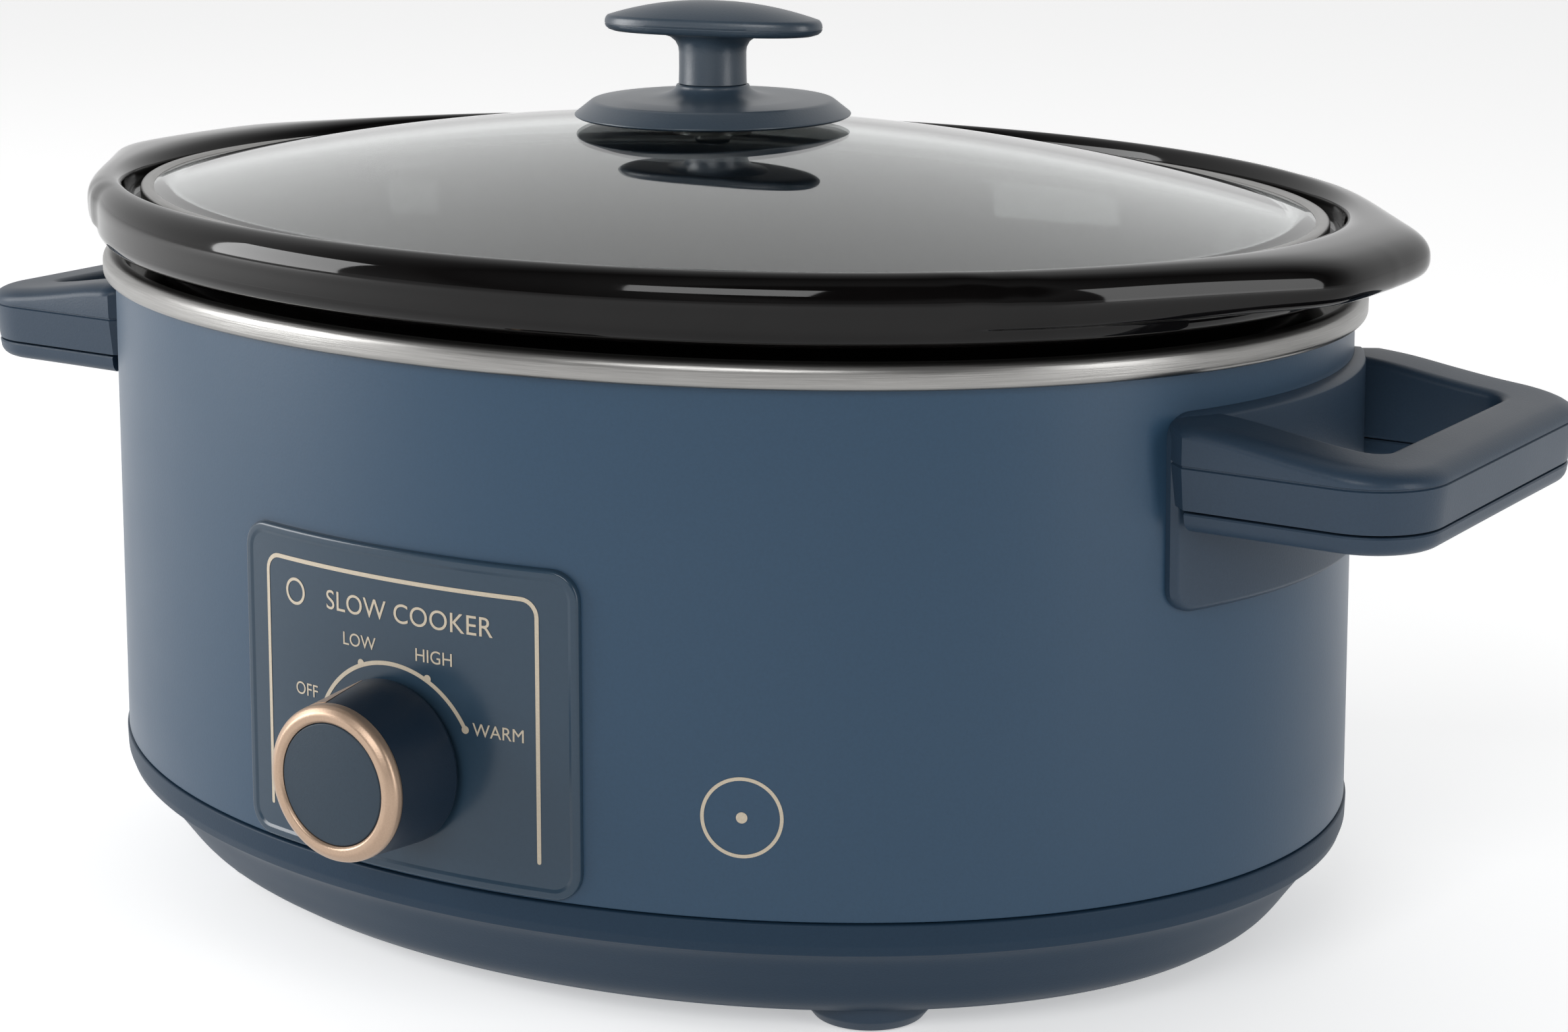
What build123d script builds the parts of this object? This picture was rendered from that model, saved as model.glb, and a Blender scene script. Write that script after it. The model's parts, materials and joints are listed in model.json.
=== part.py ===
from build123d import *
import os

# An oval slow cooker, in millimetres, +Z up. X is the long axis, with a handle at each end, and the
# control panel faces -Y. Z is 0 where the foot pads rest.
# Ovals are ellipses that keep a constant inset from the wall's own ellipse at the seam.

# ---- driving dimensions: the body ----
body_a = 170.0              # half length of the wall at the seam
body_b = 133.0              # half width of the wall at the seam
floor_z = 7.0               # underside of the base pan
seam_z = 36.0               # joint between base pan and steel wall
wall_top_z = 157.0
wall_taper = 2.15           # the wall leans in by this much over its height
sheet = 1.0                 # wall steel
pan_wall = 2.5              # base pan plastic
bead_top_z = 163.0
well_floor_z = 45.0         # inside floor of the heating well
well_sheet = 1.0
fit_gap = 0.05              # between parts that touch on a curved face

# ---- driving dimensions: feet and base fasteners ----
foot_x, foot_y = 91.4, 70.0
foot_r = 15.3
pad_r = 9.0
base_screw_r = 2.0
base_screw_places = [(55, 0), (-55, 0), (0, 38), (0, -38)]
shield_z = 38.0
strap_z = 42.4
strap_t = 1.5

# ---- driving dimensions: crock ----
rim_low_z = 165.5
rim_top_z = 182.2
ledge_z = 174.3
crock_floor_z = 52.0
lug_reach = 187.0           # end of the lug, from the middle of the crock
lug_root = (140.0, 79.0)
lug_tip_half = 30.0
lug_low_z, lug_high_z = 170.3, 181.9

# ---- driving dimensions: lid ----
lid_a, lid_b = 161.3, 122.3
band_h = 5.2
band_leg = 3.4
band_t = 0.7
glass_t = 4.0
glass_edge_z = ledge_z + band_h - band_t
glass_apex_z = 197.7
dome_flat = 0.15            # share of the plan that is flat under the knob
dome_power = 1.5            # how the dome falls away towards its edge
seat_z = 198.5              # underside of the lid knob's flange
flange_r = 35.3
stem_z = 206.5              # joint between flange and grip
bar_low_z, bar_top_z = 219.2, 227.4
bar_length, bar_width = 59.0, 24.0
bar_turn = 10.0             # the grip is screwed up slightly askew, degrees
lid_screw_r = 2.0

# ---- driving dimensions: handles ----
handle_reach = 216.0
handle_half = 55.2          # outer half width of the two arms
arm_width = 17.2
bar_depth = 15.7
handle_corner = 18.5
gap_corner = 4.5
handle_low_z, handle_seam_z = 122.8, 127.4
root_x, flare_x = 156.5, 161.3      # the arms widen from the plate between these
root_z, tip_z = 147.5, 141.4        # the top slopes down from flare_x to the tip
plate_half, plate_low_z, plate_high_z = 50.3, 102.8, 148.2
plate_t = 3.0
plate_corner = 5.5
handle_screw_y, handle_screw_z = 47.0, 134.0
handle_screw_r = 2.0

# ---- driving dimensions: control panel and its knob ----
panel_half, panel_low_z, panel_high_z = 49.0, 36.7, 113.8
panel_x = 2.1               # the panel sits a little to the right of the middle
control_x = 2.0             # and so does the knob
panel_proud = 1.6
panel_corner = 7.0
knob_z = 63.8
knob_back_r, knob_front_r = 19.7, 18.45
knob_gap = 0.45             # between knob and panel
knob_face_y = -156.3
ring_inner_r = 14.6
ring_depth = 3.8
shaft_r = 3.0
shaft_clearance = 0.05
bush_r = 4.5
switch_size = (28.0, 9.5, 28.0)
switch_back_y = -120.8
rest_angle = -22.0          # the pointer rests at LOW, this far round from straight up
pointer_front, pointer_back = 7.0, 2.0      # its widths at the ring and at the panel
pointer_lean = 4.4          # the barrel narrows towards the front by this angle

# ---- driving dimensions: inside ----
heater_low_z, heater_high_z = 85.0, 130.0
heater_t = 1.5
wrap_t = 2.0
gland_z = 50.0
gland_bore_r = 3.6
gland_r = 6.0

# The knob stands out in front, so the oval's centre is behind the middle of the whole object.
rim_back_y = body_b + 2.2
oval_centre_y = -(rim_back_y + knob_face_y) / 2

os.makedirs("parts", exist_ok=True)


def save(name, *pieces):
    """Writes one sub-part, moved so that the origin is under the middle of the object's box."""
    placed = [solid for piece in pieces for solid in (Pos(0, oval_centre_y, 0) * piece).solids()]
    export_step(placed[0] if len(placed) == 1 else Compound(placed), f"parts/{name}.step")


def stack(profile, a=body_a, b=body_b):
    """Solid through ovals; profile is (inset, height) from the bottom up."""
    rings = [Pos(0, 0, z) * Ellipse(a - inset, b - inset) for inset, z in profile]
    return loft(rings, ruled=True)


def revolved(points):
    """Solid of revolution about Z; points are (radius, height) round a closed outline."""
    outline = Polyline(*[(r, 0, z) for r, z in points], close=True)
    return revolve(Plane.XZ * make_face(Plane.XZ.to_local_coords(outline)), Axis.Z)


def drum(radius, low_z, high_z, x=0.0, y=0.0):
    """Upright cylinder between two heights."""
    return Pos(x, y, (low_z + high_z) / 2) * Cylinder(radius, high_z - low_z)


def rod_y(radius, y0, y1, x=0.0, z=0.0):
    """Cylinder along Y between two places."""
    return Pos(x, (y0 + y1) / 2, z) * Rot(90, 0, 0) * Cylinder(radius, abs(y1 - y0))


def rod_x(radius, x0, x1, y=0.0, z=0.0):
    """Cylinder along X between two places."""
    return Pos((x0 + x1) / 2, y, z) * Rot(0, 90, 0) * Cylinder(radius, abs(x1 - x0))


def block(x0, x1, y0, y1, z0, z1):
    """Box between two corners."""
    return Pos((x0 + x1) / 2, (y0 + y1) / 2, (z0 + z1) / 2) * Box(x1 - x0, y1 - y0, z1 - z0)


def mirrored_x(shape):
    return mirror(shape, Plane.YZ)


def at_control(shape):
    """Moves a piece made on the middle line to the knob's place."""
    return Pos(control_x, 0, 0) * shape


def wall_inset(z):
    """How far the wall has leaned in at a height."""
    return wall_taper * (z - seam_z) / (wall_top_z - seam_z)


def well_inset(z):
    """Inset of the heating well's outside wall at a height."""
    return 15.0 - 4.0 * (z - 51.0) / (150.0 - 51.0)


def wall_skin(near, far, low_z, high_z):
    """Ring that follows the wall, from near to far outside it."""
    outer = stack([(wall_inset(low_z) - far, low_z), (wall_inset(high_z) - far, high_z)])
    inner = stack([(wall_inset(low_z - 1) - near, low_z - 1), (wall_inset(high_z + 1) - near, high_z + 1)])
    return outer - inner


# ---- base ----

def base_pan():
    outer = stack([(17.7, floor_z), (14.0, 11.0), (8.8, 18.0), (3.6, 26.6), (1.3, 27.8),
                   (-0.2, 30.0), (-0.4, 32.0), (-0.4, seam_z)])
    lip = stack([(1.3, seam_z - 2), (1.3 + wall_inset(seam_z + 4), seam_z + 4)])
    inner = stack([(20.6, floor_z + pan_wall), (16.8, 14.0), (11.6, 20.5), (6.4, 28.8),
                   (3.0, 32.0), (3.0, seam_z + 5)])
    pan = outer + lip - inner
    for x, y in base_screw_places:
        pan += drum(6.0, floor_z + 1, shield_z, x, y)
        pan += drum(4.5, shield_z - 1, strap_z, x, y)
        pan -= drum(base_screw_r + fit_gap, floor_z - 1, strap_z + 1, x, y)
    for side in (-1, 1):
        for row in range(5):
            slot = Pos(side * 25, -20 + 10 * row, floor_z) * SlotOverall(26, 4)
            pan -= extrude(slot, pan_wall + 1)
    return pan


def foot(x, y):
    shape = revolved([(0, 2.6), (pad_r + fit_gap, 2.6), (pad_r + fit_gap, 0.6), (13.2, 0.6), (14.2, 1.4),
                      (15.0, 3.4), (foot_r, floor_z), (0, floor_z)])
    return Pos(x, y, 0) * shape


def foot_pads():
    pad = revolved([(0, 0), (pad_r - 0.6, 0), (pad_r, 0.6), (pad_r, 2.6), (0, 2.6)])
    return [Pos(x, y, 0) * pad for x in (foot_x, -foot_x) for y in (foot_y, -foot_y)]


def base_screws():
    screw = drum(4.0, floor_z - 2.0, floor_z) + drum(base_screw_r, floor_z - 0.5, strap_z + strap_t)
    slot = block(-3, 3, -0.5, 0.5, floor_z - 2.5, floor_z - 1)
    return [Pos(x, y, 0) * (screw - slot) for x, y in base_screw_places]


def heat_shield():
    plate = extrude(Pos(0, 0, shield_z) * Ellipse(125, 88), 0.8)
    for x, y in base_screw_places:
        plate -= drum(4.7, shield_z - 1, shield_z + 2, x, y)
    return plate


def tie_strap():
    strap = extrude(Pos(0, 0, strap_z) * (SlotOverall(134, 18) + Rot(0, 0, 90) * SlotOverall(98, 18)), strap_t)
    for x, y in base_screw_places:
        strap -= drum(base_screw_r + fit_gap, strap_z - 1, strap_z + 3, x, y)
    return strap


# ---- housing ----

def housing_shell():
    wall = stack([(0, seam_z), (wall_taper, wall_top_z)])
    hollow = stack([(sheet + wall_inset(seam_z - 1), seam_z - 1), (sheet + wall_inset(wall_top_z + 1), wall_top_z + 1)])
    shell = wall - hollow
    shell -= rod_y(bush_r + 0.3, -body_b - 5, -body_b + 15, control_x, knob_z)
    shell -= rod_y(gland_r + 0.1, body_b - 15, body_b + 5, z=gland_z)
    for side in (-1, 1):
        for y in (-handle_screw_y, handle_screw_y):
            shell -= rod_x(handle_screw_r + 0.3, side * 140, side * 175, y, handle_screw_z)
    return shell


def heating_well():
    outer = stack([(23.0, well_floor_z - well_sheet), (18.0, 46.0), (15.0, 51.0), (11.0, 150.0), (8.6, 154.5),
                   (4.4, 157.0), (-0.2, 157.05), (-0.9, 158.4), (-0.9, 160.2), (0.1, 162.3), (1.6, bead_top_z)])
    inner = stack([(24.0, well_floor_z), (19.0, 46.8), (16.0, 51.4), (12.0, 150.4), (9.4, 155.3), (5.0, 159.4),
                   (3.4, 161.8), (2.0, bead_top_z + 0.05)])
    return outer - inner


def band_round_well(near, far, low_z, high_z):
    """Ring that follows the heating well's wall."""
    outer = stack([(well_inset(low_z) - far, low_z), (well_inset(high_z) - far, high_z)])
    inner = stack([(well_inset(low_z - 1) - near, low_z - 1), (well_inset(high_z + 1) - near, high_z + 1)])
    return outer - inner


def heater_band():
    ring = band_round_well(fit_gap, heater_t, heater_low_z, heater_high_z)
    return ring - block(-4, 4, 90, 140, 0, 200)


def heater_wrap():
    ring = band_round_well(heater_t + fit_gap, heater_t + wrap_t, heater_low_z - 3, heater_high_z + 3)
    return ring - block(-4, 4, 90, 140, 0, 200)


def thermal_fuse():
    y = body_b - well_inset(72) + 3.4
    return rod_x(2.0, -7, 7, y, 72) + rod_x(0.5, -13, 13, y, 72)


def fuse_clip():
    y = body_b - well_inset(72) + 3.4
    ring = rod_x(2.9, -3, 3, y, 72) - rod_x(2.05, -4, 4, y, 72)
    tab = block(-3, 3, y + 2.1, y + 2.9, 72, 80)
    return ring + tab


def terminal_block():
    body = block(-38, -18, 119.6, 126.4, 52, 64)
    for x in (-34, -28, -22):
        body -= drum(1.6, 58, 65, x, 123)
    return body


def cable_gland():
    back = body_b - wall_inset(gland_z - 8) + fit_gap
    flange = rod_y(8.0, back, back + 1.8, z=gland_z)
    body = rod_y(gland_r, back - 9.0, back + 0.5, z=gland_z)
    return flange + body - rod_y(gland_bore_r, back - 12, back + 5, z=gland_z)


# ---- control panel, switch and knob ----

def control_panel():
    skin = wall_skin(fit_gap, panel_proud, panel_low_z - 1, panel_high_z + 1)
    face = RectangleRounded(2 * panel_half, panel_high_z - panel_low_z, panel_corner)
    window = extrude(Plane.XZ.offset(90) * Pos(panel_x, (panel_low_z + panel_high_z) / 2) * face, 60)
    return (skin & window) - rod_y(8.5, -body_b - 10, -body_b + 15, control_x, knob_z)


def rotary_switch():
    front = switch_back_y - switch_size[1]
    body = block(-14, 14, front, switch_back_y, knob_z - 14, knob_z + 14)
    bush = rod_y(bush_r, front + 1, -134.0, z=knob_z)
    bore = rod_y(shaft_r + shaft_clearance, switch_back_y - 4.0, -140, z=knob_z)
    tabs = block(-9, -7, switch_back_y - 1, switch_back_y + 1.6, knob_z - 22, knob_z - 8)
    return body + bush - bore + tabs + Pos(16, 0, 0) * tabs


def switch_nut():
    y0 = -body_b + wall_inset(knob_z - 8) - fit_gap
    nut = extrude(Plane.XZ.offset(-y0) * Pos(0, knob_z) * RegularPolygon(7.4, 6), 1.3)
    return nut - rod_y(bush_r + fit_gap, y0 + 3, y0 - 5, z=knob_z)


def switch_shaft():
    return rod_y(shaft_r, switch_back_y - 4.5, knob_face_y + 4.0, z=knob_z)


knob_back_y = -(body_b - wall_inset(knob_z) + panel_proud + knob_gap)


def knob_body():
    depth = knob_back_y - knob_face_y - ring_depth + 0.8
    back = Plane.XZ.offset(-knob_back_y) * Pos(0, knob_z) * Circle(knob_back_r)
    front = Plane.XZ.offset(-knob_back_y + depth) * Pos(0, knob_z) * Circle(knob_front_r - 0.2)
    body = loft([back, front])
    skirt = rod_y(16.5, knob_back_y + 1, knob_back_y - 4, z=knob_z)
    skirt -= rod_y(9.0, knob_back_y + 2, knob_back_y - 5, z=knob_z)
    nose = rod_y(ring_inner_r - fit_gap, knob_back_y - depth + 1, knob_face_y + 1.2, z=knob_z)
    bore = rod_y(shaft_r + 0.02, knob_back_y + 2, knob_face_y + 3.95, z=knob_z)
    hollow = rod_y(9.0, knob_back_y + 2, knob_back_y - 4, z=knob_z)
    return body + nose - skirt - bore - hollow - pointer_strip(0.02)


def pointer_strip(extra=0.0):
    """Wedge let into the barrel, wide at the ring, at the angle of LOW."""
    length = knob_back_y - knob_face_y - ring_depth
    half = length / 2 - 0.4
    front, back = (pointer_front + extra) / 2, (pointer_back + extra) / 2
    plan = make_face(Polyline((-front, -half), (front, -half), (back, half), (-back, half), close=True))
    strip = Pos(0, -0.2, -0.4 - extra / 2) * extrude(plan, 1.6 + extra)
    on_top = Pos(0, knob_back_y - length / 2, knob_front_r - 0.5) * Rot(-pointer_lean, 0, 0) * strip
    return Pos(0, 0, knob_z) * Rot(0, rest_angle, 0) * on_top


def knob_ring():
    outer = rod_y(knob_front_r, knob_face_y + ring_depth - 0.8, knob_face_y, z=knob_z)
    outer = fillet(outer.edges().group_by(Axis.Y)[0], 2.0)
    return outer - rod_y(ring_inner_r, knob_face_y + 5, knob_face_y - 1, z=knob_z)


def knob_cap():
    return rod_y(ring_inner_r - fit_gap, knob_face_y + 1.2, knob_face_y + 0.4, z=knob_z)


# ---- crock ----

def lug():
    """Grip at the crock's +X end."""
    half_root = lug_root[1]
    x0, x1 = lug_root[0] - 30, lug_root[0]
    side = Line((x1, half_root), (lug_reach - 3, lug_tip_half))
    tip = ThreePointArc((lug_reach - 3, lug_tip_half), (lug_reach, 0), (lug_reach - 3, -lug_tip_half))
    back = Polyline((lug_reach - 3, -lug_tip_half), (x1, -half_root), (x0, -half_root), (x0, half_root), (x1, half_root))
    plan = make_face([side, tip, back])
    corners = plan.vertices().filter_by(lambda v: v.X > x1 + 1)
    plan = fillet(corners, 14)
    solid = extrude(Pos(0, 0, lug_low_z) * plan, lug_high_z - lug_low_z)
    outside = solid.edges().filter_by(lambda e: e.center().X > x1 + 5)
    flat = outside.filter_by(lambda e: abs(e.bounding_box().size.Z) < 0.01)
    return fillet(flat, 4.0)


def crock():
    outer = stack([(29.0, well_floor_z), (24.0, 46.5), (20.5, 52.0), (15.0, 150.0), (13.6, 164.0), (4.0, rim_low_z),
                   (0.2, 166.3), (-1.5, 168.2), (-2.2, 171.5), (-2.2, 175.5), (-1.6, 178.6), (-0.2, 180.9),
                   (1.6, rim_top_z)])
    lugs = lug() + mirrored_x(lug())
    solid = outer + lugs
    recess = stack([(6.6, ledge_z), (5.8, 178.0), (4.9, 180.2), (3.4, 181.6), (2.0, rim_top_z + 0.01)])
    above = stack([(2.0, rim_top_z), (2.0, rim_top_z + 5)])
    cavity = stack([(40.0, crock_floor_z), (33.0, 54.0), (29.0, 60.0), (22.5, 150.0), (20.0, 168.0),
                    (18.6, ledge_z - 0.4), (18.2, ledge_z + 1)])
    return solid - recess - above - cavity


# ---- lid ----

def dome(a, b, edge_z, apex_z):
    """Domed cap of an oval plan, flat at its very top."""
    rings = []
    for share in [1.0, 0.94, 0.87, 0.79, 0.7, 0.6, 0.49, 0.37, 0.26, dome_flat]:
        fall = ((share - dome_flat) / (1 - dome_flat)) ** dome_power
        rings.append(Pos(0, 0, apex_z - (apex_z - edge_z) * fall) * Ellipse(a * share, b * share))
    return loft(rings, ruled=True)


def lid_glass():
    edge = band_t + fit_gap
    rim = stack([(edge, ledge_z + band_t), (edge, glass_edge_z)], lid_a, lid_b)
    top = dome(lid_a - band_leg, lid_b - band_leg, glass_edge_z - 0.01, glass_apex_z)
    under = dome(lid_a - 8.0, lid_b - 8.0, ledge_z + band_t - 0.01, glass_apex_z - glass_t)
    return rim + top - under - drum(4.0, 150, 250)


def lid_band():
    top_z = ledge_z + band_h
    outer = stack([(0.6, ledge_z), (0, ledge_z + 0.6), (0, top_z - 0.8), (0.3, top_z - 0.2), (0.9, top_z)],
                  lid_a, lid_b)
    hole = stack([(band_leg, ledge_z - 1), (band_leg, top_z + 1)], lid_a, lid_b)
    groove = stack([(band_t, ledge_z + band_t), (band_t, top_z - band_t)], lid_a, lid_b)
    return outer - hole - groove


def lid_knob_flange():
    return revolved([(lid_screw_r + 0.2, seat_z), (34.6, seat_z), (flange_r, seat_z + 0.4), (33.6, 200.9),
                     (31.0, 202.5), (28.5, 203.1), (16.0, 203.7), (12.5, 204.3), (10.2, 205.3), (9.2, stem_z),
                     (lid_screw_r + 0.2, stem_z)])


def lid_knob_grip():
    stem = loft([Pos(0, 0, stem_z) * Ellipse(9.2, 8.6), Pos(0, 0, 215.5) * Ellipse(9.4, 8.8),
                 Pos(0, 0, 218.0) * Ellipse(11.0, 9.4), Pos(0, 0, bar_low_z + 0.5) * Ellipse(13.5, 9.9)], ruled=True)
    side = ThreePointArc((-20, -10.2), (0, -bar_width / 2), (20, -10.2))
    end = ThreePointArc((20, -10.2), (bar_length / 2, 0), (20, 10.2))
    plan = make_face([side, end, mirror(side, Plane.XZ), mirror(end, Plane.YZ)])
    bar = extrude(Pos(0, 0, bar_low_z) * plan, bar_top_z - bar_low_z)
    sag = 4.6
    crown_r = ((bar_length / 2) ** 2 + sag ** 2) / (2 * sag)
    crown = Pos(0, 0, bar_top_z - crown_r) * Rot(90, 0, 0) * Cylinder(crown_r, 60)
    grip = stem + (bar & crown) - drum(lid_screw_r + fit_gap, stem_z - 1, 216)
    return Rot(0, 0, bar_turn) * grip


def lid_knob_seal():
    return drum(20.0, glass_apex_z, seat_z) - drum(lid_screw_r + 0.2, glass_apex_z - 1, seat_z + 1)


def lid_knob_grommet():
    low = glass_apex_z - glass_t
    ring = drum(11.0, low - 1.2, low) + drum(3.8, low - 0.5, glass_apex_z)
    return ring - drum(lid_screw_r + 0.2, low - 3, glass_apex_z + 1)


def lid_knob_washer():
    low = glass_apex_z - glass_t - 1.2
    return drum(10.0, low - 1.0, low) - drum(lid_screw_r + 0.2, low - 2, low + 1)


def lid_knob_screw():
    top = glass_apex_z - glass_t - 2.2
    head = fillet(drum(4.6, top - 2.6, top).edges().group_by(Axis.Z)[0], 1.4)
    screw = head + drum(lid_screw_r, top - 0.5, 215)
    for turn in (0, 90):
        screw -= Rot(0, 0, turn) * block(-2.4, 2.4, -0.5, 0.5, top - 3, top - 1.4)
    return screw


# ---- handles ----

def handle_outline(outer_inset=0.0, inner_inset=0.0):
    """U in plan at the +X end: two arms that flare out of the plate, and the bar across their ends."""
    start_x = 140.0
    root, half = plate_half - outer_inset, handle_half - outer_inset
    reach = handle_reach - outer_inset
    outer = make_face(Polyline((start_x, -root), (root_x, -root), (flare_x, -half), (reach, -half),
                               (reach, half), (flare_x, half), (root_x, root), (start_x, root), close=True))
    outer = fillet(outer.vertices().filter_by(lambda v: v.X > flare_x + 1), handle_corner - outer_inset)
    gap_half = handle_half - arm_width + inner_inset
    gap_x = handle_reach - bar_depth + inner_inset
    gap = Pos((start_x - 5 + gap_x) / 2, 0) * Rectangle(gap_x - start_x + 5, 2 * gap_half)
    gap = fillet(gap.vertices().filter_by(lambda v: v.X > start_x), gap_corner)
    return outer - gap


def outside_wall(low_z, high_z):
    """Solid of everything within the wall, a hair larger."""
    return stack([(wall_inset(low_z) - fit_gap, low_z), (wall_inset(high_z) - fit_gap, high_z)])


def handle_body():
    fall = (root_z - tip_z) / (handle_reach - flare_x)
    low, back, front = handle_seam_z + 0.3, flare_x - 30, handle_reach + 1
    side_view = Polyline((back, low), (front, low), (front, tip_z - fall), (back, root_z + 30 * fall),
                         close=True)
    slope = extrude(Plane.XZ * make_face(side_view), handle_half + 5, both=True)
    top = extrude(Pos(0, 0, handle_seam_z) * handle_outline(), 30) & slope
    rim = top.faces().filter_by(lambda f: 0.9 < f.normal_at().Z < 0.999)[0].edges()
    top = fillet(rim.filter_by(lambda e: e.center().X > flare_x + 1), 4.0)
    skin = wall_skin(fit_gap, plate_t, plate_low_z - 1, plate_high_z + 1)
    face = RectangleRounded(2 * plate_half, plate_high_z - plate_low_z, plate_corner)
    window = extrude(Plane.YZ.offset(120) * Pos(0, (plate_low_z + plate_high_z) / 2) * face, 80)
    plate = skin & window
    body = top - outside_wall(plate_low_z - 5, plate_high_z + 5) + plate
    for y in (-handle_screw_y, handle_screw_y):
        body -= rod_x(handle_screw_r + fit_gap, 140, 178, y, handle_screw_z)
    return body


def handle_cover():
    slab = extrude(Pos(0, 0, handle_low_z) * handle_outline(), handle_seam_z - handle_low_z)
    rim = slab.edges().group_by(Axis.Z)[0].filter_by(lambda e: e.center().X > 141)
    slab = fillet(rim, 3.0)
    rib = extrude(Pos(0, 0, handle_seam_z - 0.5) * handle_outline(4.0, 4.0), 0.8)
    keep_out = wall_skin(-20, plate_t + fit_gap, plate_low_z - 2, plate_high_z + 2)
    root = block(120, flare_x, -60, 60, handle_low_z - 1, handle_seam_z + 1)
    return slab + rib - keep_out - root


def handle_screws():
    screws = []
    for side in (-1, 1):
        for y in (-handle_screw_y, handle_screw_y):
            head = rod_x(3.7, side * 151.6, side * 153.9, y, handle_screw_z)
            shank = rod_x(handle_screw_r, side * 153, side * 176, y, handle_screw_z)
            slot = block(min(side * 151.0, side * 152.6), max(side * 151.0, side * 152.6),
                         y - 3, y + 3, handle_screw_z - 0.4, handle_screw_z + 0.4)
            screws.append(head + shank - slot)
    return screws


save("base_pan", base_pan())
for lengthwise, x in (("left", -foot_x), ("right", foot_x)):
    for crosswise, y in (("front", -foot_y), ("rear", foot_y)):
        save(f"foot_{crosswise}_{lengthwise}", foot(x, y))
save("foot_pads", *foot_pads())
save("base_screws", *base_screws())
save("heat_shield", heat_shield())
save("tie_strap", tie_strap())
save("housing_shell", housing_shell())
save("heating_well", heating_well())
save("heater_band", heater_band())
save("heater_wrap", heater_wrap())
save("thermal_fuse", thermal_fuse())
save("fuse_clip", fuse_clip())
save("terminal_block", terminal_block())
save("cable_gland", cable_gland())
save("control_panel", control_panel())
save("rotary_switch", at_control(rotary_switch()))
save("switch_nut", at_control(switch_nut()))
save("switch_shaft", at_control(switch_shaft()))
save("knob_body", at_control(knob_body()))
save("knob_pointer", at_control(pointer_strip()))
save("knob_ring", at_control(knob_ring()))
save("knob_cap", at_control(knob_cap()))
save("crock", crock())
save("lid_glass", lid_glass())
save("lid_band", lid_band())
save("lid_knob_flange", lid_knob_flange())
save("lid_knob_grip", lid_knob_grip())
save("lid_knob_seal", lid_knob_seal())
save("lid_knob_grommet", lid_knob_grommet())
save("lid_knob_washer", lid_knob_washer())
save("lid_knob_screw", lid_knob_screw())
right_handle = handle_body()
right_cover = handle_cover()
save("handle_right_body", right_handle)
save("handle_left_body", mirrored_x(right_handle))
save("handle_right_cover", right_cover)
save("handle_left_cover", mirrored_x(right_cover))
save("handle_screws", *handle_screws())
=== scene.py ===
import json
import math

import bmesh
import bpy
import numpy as np
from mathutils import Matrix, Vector


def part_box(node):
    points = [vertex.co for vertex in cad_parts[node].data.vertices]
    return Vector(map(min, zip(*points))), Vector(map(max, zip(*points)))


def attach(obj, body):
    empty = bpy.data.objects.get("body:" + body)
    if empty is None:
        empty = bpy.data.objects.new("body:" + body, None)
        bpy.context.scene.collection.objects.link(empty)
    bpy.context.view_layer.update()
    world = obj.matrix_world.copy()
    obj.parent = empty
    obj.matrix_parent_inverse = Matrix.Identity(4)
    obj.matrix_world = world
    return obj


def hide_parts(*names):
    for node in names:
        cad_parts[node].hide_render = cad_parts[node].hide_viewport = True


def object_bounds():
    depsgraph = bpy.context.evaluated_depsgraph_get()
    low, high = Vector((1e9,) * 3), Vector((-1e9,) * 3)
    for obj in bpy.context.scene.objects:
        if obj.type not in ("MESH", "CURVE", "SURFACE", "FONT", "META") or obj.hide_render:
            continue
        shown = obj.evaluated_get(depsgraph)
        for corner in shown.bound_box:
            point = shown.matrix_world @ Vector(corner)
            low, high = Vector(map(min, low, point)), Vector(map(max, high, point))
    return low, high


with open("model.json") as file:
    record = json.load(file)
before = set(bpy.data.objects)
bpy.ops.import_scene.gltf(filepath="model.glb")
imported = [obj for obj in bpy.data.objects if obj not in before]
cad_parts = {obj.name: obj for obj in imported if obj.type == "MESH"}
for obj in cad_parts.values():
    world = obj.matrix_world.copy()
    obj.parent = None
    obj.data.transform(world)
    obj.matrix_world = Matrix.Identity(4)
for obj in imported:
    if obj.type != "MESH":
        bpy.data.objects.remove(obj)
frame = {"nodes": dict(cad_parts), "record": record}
cad_low, cad_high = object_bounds()

MM = 0.001
RING_STEPS = 384

# ---- sizes read from the CAD model, in millimetres ----


def box_mm(node):
    low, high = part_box(node)
    return np.array(low) / MM, np.array(high) / MM


def middle_mm(node):
    low, high = box_mm(node)
    return (low + high) / 2


shell_low, shell_high = box_mm("housing_shell")
CENTRE_Y = middle_mm("housing_shell")[1]
BODY_A, BODY_B = (shell_high - shell_low)[:2] / 2
SEAM_Z, WALL_TOP_Z = shell_low[2], shell_high[2]
WALL_TAPER = 2.15           # how far the wall leans in from its seam to its top
PAN_LOW_Z = box_mm("base_pan")[0][2]
LUG_REACH = box_mm("crock")[1][0]
band_low, band_high = box_mm("lid_band")
LID_A, LID_B = (band_high - band_low)[:2] / 2
LID_LOW_Z, BAND_TOP_Z = band_low[2], band_high[2]
GLASS_TOP_Z = box_mm("lid_glass")[1][2]
SEAT_Z = box_mm("lid_knob_flange")[0][2]
grip_low, grip_high = box_mm("lid_knob_grip")
STEM_Z, BAR_TOP_Z = grip_low[2], grip_high[2]
KNOB_FACE_Y = box_mm("knob_ring")[0][1] - CENTRE_Y
KNOB_X, _, KNOB_Z = middle_mm("knob_body")
panel_low, panel_high = box_mm("control_panel")
PANEL_LOW_Z, PANEL_HIGH_Z = panel_low[2], panel_high[2]
HANDLE_REACH = cad_high[0] / MM
plate_low, plate_high = box_mm("handle_right_body")
PLATE_LOW_Z, PLATE_HIGH_Z = plate_low[2], plate_high[2]
COVER_LOW_Z = box_mm("handle_right_cover")[0][2]
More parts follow.
